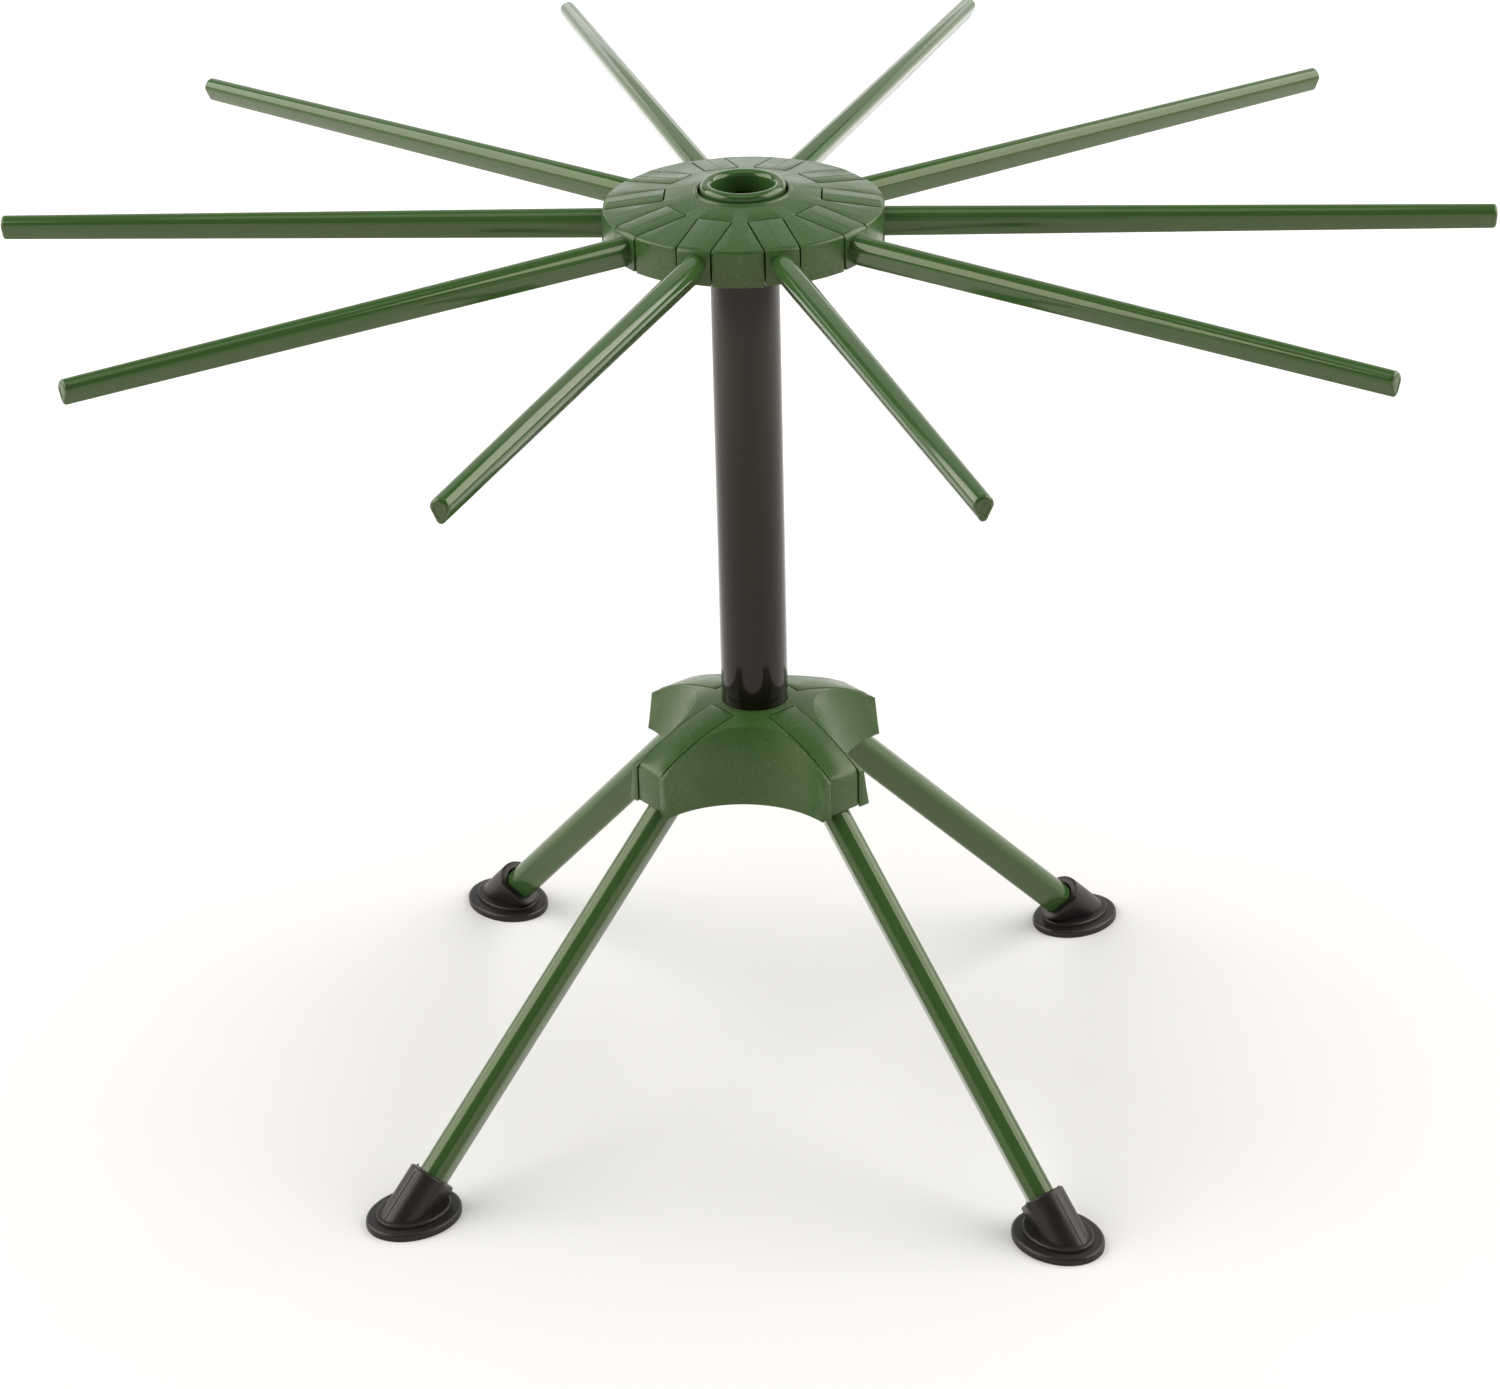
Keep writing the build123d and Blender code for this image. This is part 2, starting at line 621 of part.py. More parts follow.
# Foot: the oval flange and its step, cut flat below, and the slanted boot with its pocket
with BuildPart() as foot:
    with BuildSketch():
        with Locations((foot_reach, 0)):
            Ellipse(flange_half_length, flange_half_width)
    extrude(amount=flange_thickness)
    fillet(foot.edges().group_by(Axis.Z)[-1], flange_round)
    with BuildSketch(Plane.XY.offset(flange_thickness / 2)):
        with Locations((foot_reach, 0)):
            Ellipse(flange_half_length - step_inset, flange_half_width - step_inset)
    extrude(amount=flange_thickness / 2 + step_height)
    chamfer(foot.edges().group_by(Axis.Z)[-1], step_bevel)
    with BuildSketch(leg_plane.offset(leg_length - boot_mouth_gap)):
        drop_section(
            leg_width + 2 * boot_wall, leg_height + 2 * boot_wall, leg_nose + boot_wall, boot_slack
        )
    extrude(amount=boot_mouth_gap + flange_half_width)
    fillet(foot.faces().sort_by(Axis((0, 0, 0), leg_direction))[0].edges(), boot_mouth_round)
    split(bisect_by=Plane.XY, keep=Keep.TOP)
    with BuildSketch(leg_plane.offset(leg_length - boot_mouth_gap - overrun)):
        drop_section(
            leg_width + 2 * boot_gap, leg_height + 2 * boot_gap, leg_nose + boot_gap, boot_slack
        )
    extrude(amount=overrun + boot_mouth_gap - leg_end_gap + boot_gap, mode=Mode.SUBTRACT)

# Every piece is written as a file of its own
os.makedirs("parts", exist_ok=True)
hub_cover.part.label = "hub_cover"
export_step(hub_cover.part, "parts/hub_cover.step")
hub_retainer.part.label = "hub_retainer"
export_step(hub_retainer.part, "parts/hub_retainer.step")
hub_screws.part.label = "hub_screws"
export_step(hub_screws.part, "parts/hub_screws.step")
top_collar.part.label = "top_collar"
export_step(top_collar.part, "parts/top_collar.step")
column.part.label = "column"
export_step(column.part, "parts/column.step")
column_plug.part.label = "column_plug"
export_step(column_plug.part, "parts/column_plug.step")
column_screw.part.label = "column_screw"
export_step(column_screw.part, "parts/column_screw.step")
base_housing.part.label = "base_housing"
export_step(base_housing.part, "parts/base_housing.step")
base_plate.part.label = "base_plate"
export_step(base_plate.part, "parts/base_plate.step")
base_screws.part.label = "base_screws"
export_step(base_screws.part, "parts/base_screws.step")
for number, turn in enumerate(arm_turns, start=1):
    turned_arm = arm.part.rotate(Axis.Z, turn)
    turned_arm.label = f"arm_{number:02d}"
    export_step(turned_arm, f"parts/arm_{number:02d}.step")
for number, turn in enumerate(leg_turns, start=1):
    turned_leg = leg.part.rotate(Axis.Z, turn)
    turned_leg.label = f"leg_{number}"
    export_step(turned_leg, f"parts/leg_{number}.step")
    turned_foot = foot.part.rotate(Axis.Z, turn)
    turned_foot.label = f"foot_{number}"
    export_step(turned_foot, f"parts/foot_{number}.step")
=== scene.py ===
from math import cos, hypot, radians, sin, tan

import bmesh
import bpy
from mathutils import Matrix, Vector


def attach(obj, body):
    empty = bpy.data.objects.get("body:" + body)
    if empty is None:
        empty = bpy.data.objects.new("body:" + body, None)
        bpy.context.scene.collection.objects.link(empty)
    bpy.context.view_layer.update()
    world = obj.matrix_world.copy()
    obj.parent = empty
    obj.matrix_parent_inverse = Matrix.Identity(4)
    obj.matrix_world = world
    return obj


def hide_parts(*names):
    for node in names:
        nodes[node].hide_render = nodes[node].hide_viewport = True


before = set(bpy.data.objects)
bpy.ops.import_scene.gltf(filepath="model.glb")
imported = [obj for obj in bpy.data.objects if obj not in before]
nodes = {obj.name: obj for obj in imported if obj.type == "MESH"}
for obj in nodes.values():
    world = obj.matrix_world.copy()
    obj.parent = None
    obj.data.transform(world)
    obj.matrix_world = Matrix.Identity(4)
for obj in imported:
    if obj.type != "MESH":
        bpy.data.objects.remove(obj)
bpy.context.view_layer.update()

# The view: the rack stands on a table and is seen from the front, a little above it and from
# over a metre away, with a long lens, so that its legs and arms hardly converge.
camera_data = bpy.data.cameras.new("front_view")
camera_data.sensor_width = 36.0
camera_data.lens = 99.53
camera_data.clip_end = 20.0
camera = bpy.data.objects.new("front_view", camera_data)
bpy.context.scene.collection.objects.link(camera)
view_distance = 1.1539
view_height = 0.7062
view_turn = radians(6.0)
turn_aside = radians(0.075)
look_down = radians(26.45)
tilt = radians(-1.397)
camera.matrix_world = (
    Matrix.Translation((view_distance * sin(view_turn), -view_distance * cos(view_turn), view_height))
    @ Matrix.Rotation(view_turn + turn_aside, 4, "Z")
    @ Matrix.Rotation(radians(90) - look_down, 4, "X")
    @ Matrix.Rotation(tilt, 4, "Z")
)
bpy.context.scene.camera = camera
bpy.context.scene.view_settings.view_transform = "Standard"

# Column: a plain round tube, near black and glossy, cut square at both ends. It is pressed
# into the socket of the base below and carries the collar on its top.
column_radius = 0.0103
column_bore = 0.0095
column_foot = 0.1110
column_head = 0.2936
column_end_round = 0.0003


def turned(outline, steps):
    """A closed outline of radius and height, spun once round the upright axis."""
    bm = bmesh.new()
    corners = [bm.verts.new((radius, 0, height)) for radius, height in outline]
    sides = [bm.edges.new(pair) for pair in zip(corners, corners[1:] + corners[:1])]
    bmesh.ops.spin(bm, geom=corners + sides, cent=(0, 0, 0), axis=(0, 0, 1),
                   angle=radians(360), steps=steps, use_merge=True)
    bmesh.ops.remove_doubles(bm, verts=bm.verts, dist=1e-6)
    bmesh.ops.recalc_face_normals(bm, faces=bm.faces)
    return bm


def soften(bm, edges, width, segments):
    """Rounds the given edges."""
    return bmesh.ops.bevel(bm, geom=edges, offset=width, offset_type="OFFSET", segments=segments,
                           profile=0.5, affect="EDGES", material=-1, clamp_overlap=True)


def ring_edges(bm, radius, height):
    """The edges of one turned ring, by its radius and height."""
    return [edge for edge in bm.edges if all(
        abs(hypot(vert.co.x, vert.co.y) - radius) < 2e-6 and abs(vert.co.z - height) < 2e-6
        for vert in edge.verts)]


def as_piece(bm, name, finishes, body, *stands_for):
    """Makes the mesh an object that shows smooth curves and crisp edges, and rides on its body."""
    mesh = bpy.data.meshes.new(name)
    bm.to_mesh(mesh)
    bm.free()
    mesh.shade_smooth()
    mesh.set_sharp_from_angle(angle=radians(32))
    for finish in finishes:
        mesh.materials.append(finish)
    piece = bpy.data.objects.new(name, mesh)
    bpy.context.scene.collection.objects.link(piece)
    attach(piece, body)
    if stands_for:
        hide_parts(*stands_for)
    return piece


def moulded(name, colour, second_colour, roughness, grain_size, grain_depth,
            sheen=(1.0, 1.0, 1.0), index=1.5, wear=0.0):
    """A moulded surface: a faint cloudiness in its colour and gloss, a fine grain, a tinted sheen and
    small rubbed specks scattered at random over it."""
    material = bpy.data.materials.new(name)
    material.use_nodes = True
    tree = material.node_tree
    shader = tree.nodes["Principled BSDF"]
    shader.inputs["Specular Tint"].default_value = (*sheen, 1)
    shader.inputs["IOR"].default_value = index
    place = tree.nodes.new("ShaderNodeTexCoord")
    cloud = tree.nodes.new("ShaderNodeTexNoise")
    cloud.inputs["Scale"].default_value = 55.0
    cloud.inputs["Detail"].default_value = 4.0
    cloud.inputs["Roughness"].default_value = 0.6
    tree.links.new(place.outputs["Object"], cloud.inputs["Vector"])
    tint = tree.nodes.new("ShaderNodeMix")
    tint.data_type = "RGBA"
    tint.inputs["A"].default_value = (*colour, 1)
    tint.inputs["B"].default_value = (*second_colour, 1)
    tree.links.new(cloud.outputs["Fac"], tint.inputs["Factor"])
    specks = tree.nodes.new("ShaderNodeTexNoise")
    specks.inputs["Scale"].default_value = 900.0
    specks.inputs["Detail"].default_value = 3.0
    tree.links.new(place.outputs["Object"], specks.inputs["Vector"])
    rubbed = tree.nodes.new("ShaderNodeMapRange")
    rubbed.inputs["From Min"].default_value = 0.60
    rubbed.inputs["From Max"].default_value = 0.74
    rubbed.inputs["To Max"].default_value = wear
    tree.links.new(specks.outputs["Fac"], rubbed.inputs["Value"])
    paler = tree.nodes.new("ShaderNodeMix")
    paler.data_type = "RGBA"
    paler.inputs["B"].default_value = (0.20, 0.27, 0.15, 1)
    tree.links.new(rubbed.outputs["Result"], paler.inputs["Factor"])
    tree.links.new(tint.outputs["Result"], paler.inputs["A"])
    tree.links.new(paler.outputs["Result"], shader.inputs["Base Color"])
    smear = tree.nodes.new("ShaderNodeTexNoise")
    smear.inputs["Scale"].default_value = 140.0
    smear.inputs["Detail"].default_value = 5.0
    tree.links.new(place.outputs["Object"], smear.inputs["Vector"])
    gloss = tree.nodes.new("ShaderNodeMapRange")
    gloss.inputs["From Min"].default_value = 0.3
    gloss.inputs["From Max"].default_value = 0.7
    gloss.inputs["To Min"].default_value = roughness * 0.85
    gloss.inputs["To Max"].default_value = roughness * 1.2
    tree.links.new(smear.outputs["Fac"], gloss.inputs["Value"])
    tree.links.new(gloss.outputs["Result"], shader.inputs["Roughness"])
    grain = tree.nodes.new("ShaderNodeTexNoise")
    grain.inputs["Scale"].default_value = 1.0 / grain_size
    grain.inputs["Detail"].default_value = 3.0
    tree.links.new(place.outputs["Object"], grain.inputs["Vector"])
    bump = tree.nodes.new("ShaderNodeBump")
    bump.inputs["Strength"].default_value = 0.35
    bump.inputs["Distance"].default_value = grain_depth
    tree.links.new(grain.outputs["Fac"], bump.inputs["Height"])
    tree.links.new(bump.outputs["Normal"], shader.inputs["Normal"])
    return material


tube_finish = moulded("dark_tube", (0.0065, 0.0050, 0.0040), (0.0095, 0.0075, 0.0062),
                      0.10, 0.0016, 0.00001, sheen=(1.0, 0.84, 0.73), index=1.43)
tube = turned([(column_bore, column_foot), (column_radius, column_foot),
               (column_radius, column_head), (column_bore, column_head)], 96)
for tube_end in (column_foot, column_head):
    soften(tube, ring_edges(tube, column_radius, tube_end), column_end_round, 2)
as_piece(tube, "tube", [tube_finish], "stand", "column")

# Plug and screws: a black plug fills the tube's foot. Small zinc-plated screws hold the column,
# the base's plate and the hub's retainer, and show only from below.
plug_finish = moulded("plug_black", (0.020, 0.020, 0.020), (0.030, 0.030, 0.030),
                      0.45, 0.0006, 0.00002)
nodes["column_plug"].data.materials.clear()
nodes["column_plug"].data.materials.append(plug_finish)
screw_finish = moulded("zinc_screws", (0.55, 0.55, 0.53), (0.66, 0.66, 0.64),
                       0.32, 0.0003, 0.00001)
screw_finish.node_tree.nodes["Principled BSDF"].inputs["Metallic"].default_value = 1.0
for screw_node in ("column_screw", "base_screws", "hub_screws"):
    nodes[screw_node].data.materials.clear()
    nodes[screw_node].data.materials.append(screw_finish)

# Base housing: a domed star moulded in dark green plastic. Its four sides are hollowed in plan,
# and each of its points is slotted for a leg's block. A flat plate closes it from below.
base_foot = 0.10749
base_crown = 0.13229
base_dome_radius = 0.0800
base_reach = 0.0428
base_slot_start = 0.0126
base_slot_half = 0.0056
socket_radius = 0.01035
plate_top = 0.1093
plate_inset = 0.0021
hollow_foot_radius = 0.03215
hollow_head_radius = 0.02748
hollow_foot_reach = 0.05971
hollow_head_reach = 0.04412
point_round = 0.0014


def cut(bm, tools, operation):
    """Cuts the tool meshes from a mesh, or joins or crosses them with it, and tidies the result."""
    blank = bpy.data.objects.new("blank", bpy.data.meshes.new("blank"))
    bm.to_mesh(blank.data)
    bm.free()
    bpy.context.scene.collection.objects.link(blank)
    used = []
    for tool in tools:
        cutter = bpy.data.objects.new("cutter", bpy.data.meshes.new("cutter"))
        tool.to_mesh(cutter.data)
        tool.free()
        bpy.context.scene.collection.objects.link(cutter)
        step = blank.modifiers.new("cut", "BOOLEAN")
        step.operation = operation
        step.solver = "EXACT"
        step.object = cutter
        used.append(cutter)
    shaped = bpy.data.meshes.new_from_object(
        blank.evaluated_get(bpy.context.evaluated_depsgraph_get()))
    result = bmesh.new()
    result.from_mesh(shaped)
    for scrap in used + [blank]:
        bpy.data.objects.remove(scrap)
    bpy.data.meshes.remove(shaped)
    bmesh.ops.remove_doubles(result, verts=result.verts, dist=2e-6)
    bmesh.ops.dissolve_limit(result, angle_limit=radians(0.4), verts=result.verts, edges=result.edges)
    return result


def sharp_edges(bm, angle, wanted=lambda edge: True):
    """The edges whose faces meet at more than an angle."""
    return [edge for edge in bm.edges
            if len(edge.link_faces) == 2 and edge.calc_face_angle(0) > radians(angle) and wanted(edge)]


def slot_block(start, half_width, low, high, corner, turn, reach=0.06):
    """The room of one slot: a block with two rounded upright corners at its inner end."""
    block = bmesh.new()
    bmesh.ops.create_cube(block, size=1)
    bmesh.ops.scale(block, vec=(reach - start, 2 * half_width, high - low), verts=block.verts)
    bmesh.ops.translate(block, vec=((reach + start) / 2, 0, (low + high) / 2), verts=block.verts)
    inner = [edge for edge in block.edges
             if all(abs(vert.co.x - start) < 1e-6 for vert in edge.verts)
             and abs(edge.verts[0].co.z - edge.verts[1].co.z) > 1e-4]
    soften(block, inner, corner, 4)
    bmesh.ops.rotate(block, verts=block.verts, cent=(0, 0, 0), matrix=Matrix.Rotation(turn, 3, "Z"))
    bmesh.ops.recalc_face_normals(block, faces=block.faces)
    return block


leg_turns = [radians(45 + 90 * number) for number in range(4)]
base_height = base_crown - base_foot
base_middle = (base_crown + base_foot) / 2
star = bmesh.new()
bmesh.ops.create_cube(star, size=1)
bmesh.ops.scale(star, vec=(2 * base_reach, 2 * base_reach, base_height), verts=star.verts)
bmesh.ops.translate(star, vec=(0, 0, base_middle), verts=star.verts)
bmesh.ops.rotate(star, verts=star.verts, cent=(0, 0, 0), matrix=Matrix.Rotation(radians(45), 3, "Z"))
hollows = []
for number in range(4):
    hollow = bmesh.new()
    past = 0.12 * base_height
    bmesh.ops.create_cone(hollow, cap_ends=True, segments=160, radius1=hollow_foot_radius,
                          radius2=hollow_head_radius, depth=base_height + 2 * past)
    bmesh.ops.translate(hollow, vec=(hollow_foot_reach, 0, base_middle), verts=hollow.verts)
    upper = [vert for vert in hollow.verts if vert.co.z > base_middle]
    bmesh.ops.translate(hollow, vec=(hollow_head_reach - hollow_foot_reach, 0, 0), verts=upper)
    bmesh.ops.rotate(hollow, verts=hollow.verts, cent=(0, 0, 0),
                     matrix=Matrix.Rotation(radians(90 * number), 3, "Z"))
    hollows.append(hollow)
star = cut(star, hollows, "DIFFERENCE")
upright_corners = sharp_edges(star, 30, lambda edge: abs(
    edge.verts[0].co.z - edge.verts[1].co.z) > 0.01)
soften(star, upright_corners, point_round, 4)
dome = turned([(0, base_foot - 0.01)] + [(0.0478, base_foot - 0.01)] + [
    (base_dome_radius * sin(radians(36.7 * step / 24)),
     base_crown - base_dome_radius + base_dome_radius * cos(radians(36.7 * step / 24)))
    for step in range(24, -1, -1)], 160)
star = cut(star, [dome], "INTERSECT")
dome_edges = sharp_edges(star, 30, lambda edge: all(vert.co.z > 0.117 for vert in edge.verts))
soften(star, dome_edges, 0.0009, 4)
sole = [face for face in star.faces if face.calc_center_median().z < base_foot + 1e-5]
bmesh.ops.dissolve_faces(star, faces=sole)
sole = [face for face in star.faces if face.calc_center_median().z < base_foot + 1e-5]
bmesh.ops.inset_region(star, faces=sole, thickness=plate_inset, use_even_offset=True)
bmesh.ops.translate(star, vec=(0, 0, plate_top - base_foot + 0.00005),
                    verts=list({vert for face in sole for vert in face.verts}))
socket = turned([(0, column_foot), (socket_radius, column_foot), (socket_radius, 0.14), (0, 0.14)], 96)
leg_slots = [slot_block(base_slot_start, base_slot_half, 0.09, 0.15, 0.0010, turn)
             for turn in leg_turns]
star = cut(star, leg_slots + [socket], "DIFFERENCE")
soften(star, sharp_edges(star, 50), 0.00025, 2)
green_plastic = moulded("green_plastic", (0.033, 0.082, 0.018), (0.040, 0.094, 0.023),
                        0.29, 0.0009, 0.00003, sheen=(0.92, 0.92, 0.68), wear=0.3)
as_piece(star, "base_star", [green_plastic], "stand", "base_housing")
for hidden_green in ("base_plate", "hub_retainer"):
    nodes[hidden_green].data.materials.clear()
    nodes[hidden_green].data.materials.append(green_plastic)

# Legs: each is one moulding, a block that turns in the base's slot and a straight rod with a
# round back on its outer side and a narrow underside. They splay at 45 degrees.
leg_pin = Vector((0.0210, 0, 0.12049))
leg_length = 0.1704
leg_along = Vector((1, 0, -1)).normalized()
leg_back = Vector((1, 0, 1)).normalized()
leg_width = 0.0088
leg_depth = 0.0108
leg_nose = 0.0020
leg_block_inner = 0.0131
leg_block_outer = 0.0425
leg_block_foot = 0.10809
leg_block_half = 0.0052


def drop_face(bm, width, height, nose, slack=0.0):
    """One face, flat on the XY plane: a half-round back up, straight flanks and a narrow nose down."""
    back = width / 2
    ring = bmesh.ops.create_circle(bm, cap_ends=True, segments=56, radius=back)["verts"]
    lean = (back - nose) / hypot(back - nose, height - back - nose)
    upper = [vert for vert in ring if vert.co.y >= -1e-7]
    lower = [vert for vert in ring if vert.co.y < -lean * back]
    flank = [vert for vert in ring if vert not in upper and vert not in lower]
    bmesh.ops.scale(bm, verts=lower, vec=(nose / back, nose / back, 1))
    bmesh.ops.translate(bm, verts=lower, vec=(0, nose - height / 2, 0))
    bmesh.ops.translate(bm, verts=upper, vec=(0, height / 2 - back + slack, 0))
    bmesh.ops.dissolve_verts(bm, verts=flank)
    return upper + lower


def rod_from_drop(bm, ring, along, length, end_scale):
    """Draws a section out into a rod, softens the two edges of its flanks and gives its end faces."""
    pushed = bmesh.ops.extrude_face_region(bm, geom=list(bm.faces))["geom"]
    far_end = [item for item in pushed if isinstance(item, bmesh.types.BMVert)]
    middle = sum((vert.co for vert in far_end), Vector()) / len(far_end)
    bmesh.ops.scale(bm, verts=far_end, vec=end_scale, space=Matrix.Translation(-middle))
    bmesh.ops.translate(bm, vec=along * length, verts=far_end)
    bmesh.ops.recalc_face_normals(bm, faces=bm.faces)
    reach = max(vert.co.dot(along) for vert in bm.verts)
    soften(bm, sharp_edges(bm, 14, lambda edge: edge.calc_length() > 0.02), 0.0004, 3)
    return [face for face in bm.faces
            if all(abs(vert.co.dot(along) - reach) < 1e-6 for vert in face.verts)]


def place_section(bm, verts, origin, across, up):
    """Stands a flat section up: its X along across and its Y along up, at an origin."""
    out = across.cross(up)
    stand_up = Matrix((across, up, out)).transposed().to_4x4()
    bmesh.ops.transform(bm, matrix=Matrix.Translation(origin) @ stand_up, verts=verts)


def block_from_profile(bm, profile, half_width):
    """A block whose side view is the profile, in the upright plane through the axis."""
    corners = [bm.verts.new((x, -half_width, z)) for x, z in profile]
    side = bm.faces.new(corners)
    pushed = bmesh.ops.extrude_face_region(bm, geom=[side])["geom"]
    bmesh.ops.translate(bm, vec=(0, 2 * half_width, 0),
                        verts=[item for item in pushed if isinstance(item, bmesh.types.BMVert)])
    bmesh.ops.recalc_face_normals(bm, faces=bm.faces)


def edges_near(bm, x, z, reach=0.0004):
    """Edges that run across the block at one corner of its side view."""
    return [edge for edge in bm.edges if all(
        hypot(vert.co.x - x, vert.co.z - z) < reach for vert in edge.verts)]


def dome_at(reach):
    """The height of the base's dome at a distance from the axis."""
    return base_crown - base_dome_radius + (base_dome_radius**2 - reach**2) ** 0.5


def merged(first, second):
    """Puts a second mesh into the first."""
    scrap = bpy.data.meshes.new("scrap")
    second.to_mesh(scrap)
    second.free()
    first.from_mesh(scrap)
    bpy.data.meshes.remove(scrap)
    return first


def seam(bm, start, end, thickness):
    """A fine raised parting line between two points of the upright plane through the axis."""
    ridge = bmesh.new()
    bmesh.ops.create_cube(ridge, size=1)
    bmesh.ops.scale(ridge, vec=((end - start).length, thickness, thickness), verts=ridge.verts)
    pitch = (end - start).to_track_quat("X", "Z").to_matrix()
    bmesh.ops.rotate(ridge, verts=ridge.verts, cent=(0, 0, 0), matrix=pitch)
    bmesh.ops.translate(ridge, vec=(start + end) / 2, verts=ridge.verts)
    merged(bm, ridge)


gloss_green = moulded("gloss_green", (0.036, 0.089, 0.020), (0.043, 0.101, 0.026),
                      0.10, 0.0012, 0.00001, sheen=(1.0, 0.97, 0.72), index=1.52)
for number, turn in enumerate(leg_turns, start=1):
    leg = bmesh.new()
    crown_reaches = [leg_block_inner + (leg_block_outer - leg_block_inner) * step / 10
                     for step in range(11)]
    crown = [(reach, dome_at(reach)) for reach in crown_reaches]
    underside = [(leg_block_outer, leg_block_foot), (0.0289, leg_block_foot), (0.0210, 0.11259),
                 (0.0154, 0.11492), (leg_block_inner, leg_pin.z)]
    block_from_profile(leg, crown + underside, leg_block_half)
    soften(leg, edges_near(leg, leg_block_outer, dome_at(leg_block_outer)), 0.0018, 5)
    outer_corners = [edge for edge in leg.edges
                     if all(abs(vert.co.x - leg_block_outer) < 1e-5 for vert in edge.verts)
                     and abs(edge.verts[0].co.z - edge.verts[1].co.z) > 1e-3]
    soften(leg, outer_corners, 0.0009, 4)
    soften(leg, sharp_edges(leg, 40), 0.0003, 2)
    rod = bmesh.new()
    ring = drop_face(rod, leg_width, leg_depth, leg_nose)
    place_section(rod, ring, leg_pin + leg_along * 0.008, Vector((0, 1, 0)), leg_back)
    rod_from_drop(rod, ring, leg_along, 0.153, (1, 1, 1))
    leg_ridge = leg_pin + leg_back * (leg_depth / 2 - 0.00005)
    seam(rod, leg_ridge + leg_along * 0.024, leg_ridge + leg_along * 0.158, 0.00018)
    for face in rod.faces:
        face.material_index = 1
    merged(leg, rod)
    bmesh.ops.rotate(leg, verts=leg.verts, cent=(0, 0, 0), matrix=Matrix.Rotation(turn, 3, "Z"))
    as_piece(leg, f"spread_leg_{number}", [green_plastic, gloss_green], f"leg_{number}",
                     f"leg_{number}")

# Feet: black rubber, moulded in one piece and pushed on. An oval flange with a raised step lies
# flat on the table, and a slanted boot rises from it along the leg, slack on its outer side.
foot_centre = 0.1390
sole_half_length = 0.0156
sole_half_width = 0.0127
boot_mouth = leg_pin + leg_along * (leg_length - 0.0154)
boot_slack = 0.0006
boot_outer = (0.0138, 0.0158, 0.0045)
boot_inner = (0.0091, 0.0111, 0.00215)
rubber = moulded("foot_rubber", (0.0100, 0.0088, 0.0080), (0.0150, 0.0134, 0.0122),
                 0.36, 0.0005, 0.00004, sheen=(1.0, 0.91, 0.84), index=1.42)


def oval_plate(half_length, half_width, low, high, round_over):
    """A flat oval with its upper edge rounded."""
    plate = bmesh.new()
    ring = bmesh.ops.create_circle(plate, cap_ends=True, segments=96, radius=1)["verts"]
    bmesh.ops.scale(plate, vec=(half_length, half_width, 1), verts=ring)
    bmesh.ops.translate(plate, vec=(foot_centre, 0, low), verts=ring)
    pushed = bmesh.ops.extrude_face_region(plate, geom=list(plate.faces))["geom"]
    upper = [item for item in pushed if isinstance(item, bmesh.types.BMVert)]
    bmesh.ops.translate(plate, vec=(0, 0, high - low), verts=upper)
    bmesh.ops.recalc_face_normals(plate, faces=plate.faces)
    upper_rim = [edge for edge in plate.edges if all(vert in upper for vert in edge.verts)]
    soften(plate, upper_rim, round_over, 6)
    return plate


def drop_sleeve(outer, inner, slack, start, length, floor):
    """A hollow sleeve of drop-shaped section along the leg, closed at its floor. Outer and inner
    are each a width, a height and a nose."""
    sleeve = bmesh.new()
    ring = drop_face(sleeve, *outer, slack)
    place_section(sleeve, ring, start, Vector((0, 1, 0)), leg_back)
    pushed = bmesh.ops.extrude_face_region(sleeve, geom=list(sleeve.faces))["geom"]
    bmesh.ops.translate(sleeve, vec=leg_along * length,
                        verts=[item for item in pushed if isinstance(item, bmesh.types.BMVert)])
    bmesh.ops.recalc_face_normals(sleeve, faces=sleeve.faces)
    soften(sleeve, sharp_edges(sleeve, 14, lambda edge: edge.calc_length() > 0.02), 0.0016, 4)
    rim = [edge for edge in sleeve.edges
           if all(abs((vert.co - start).dot(leg_along)) < 1e-6 for vert in edge.verts)]
    soften(sleeve, rim, 0.0010, 5)
    well = bmesh.new()
    ring = drop_face(well, *inner, slack)
    place_section(well, ring, start - leg_along * 0.002, Vector((0, 1, 0)), leg_back)
    pushed = bmesh.ops.extrude_face_region(well, geom=list(well.faces))["geom"]
    bmesh.ops.translate(well, vec=leg_along * (floor + 0.002),
                        verts=[item for item in pushed if isinstance(item, bmesh.types.BMVert)])
    bmesh.ops.recalc_face_normals(well, faces=well.faces)
    return cut(sleeve, [well], "DIFFERENCE")


for number, turn in enumerate(leg_turns, start=1):
    foot = oval_plate(sole_half_length, sole_half_width, 0.0, 0.0024, 0.0012)
    merged(foot, oval_plate(0.0124, 0.0095, 0.0004, 0.0036, 0.0007))
    boot = drop_sleeve(boot_outer, boot_inner, boot_slack, boot_mouth, 0.032, 0.0061)
    boot_ridge = boot_mouth + leg_back * (boot_outer[1] / 2 + boot_slack)
    seam(boot, boot_ridge + leg_along * 0.0016, boot_ridge + leg_along * 0.0240, 0.00030)
    trimmed = bmesh.ops.bisect_plane(boot, geom=boot.verts[:] + boot.edges[:] + boot.faces[:],
                                     plane_co=(0, 0, 0.0002), plane_no=(0, 0, -1), clear_outer=True)
    bmesh.ops.edgeloop_fill(boot, edges=[item for item in trimmed["geom_cut"]
                                         if isinstance(item, bmesh.types.BMEdge)])
    bmesh.ops.recalc_face_normals(boot, faces=boot.faces)
    merged(foot, boot)
    bmesh.ops.rotate(foot, verts=foot.verts, cent=(0, 0, 0), matrix=Matrix.Rotation(turn, 3, "Z"))
    as_piece(foot, f"rubber_foot_{number}", [rubber], f"leg_{number}", f"foot_{number}")

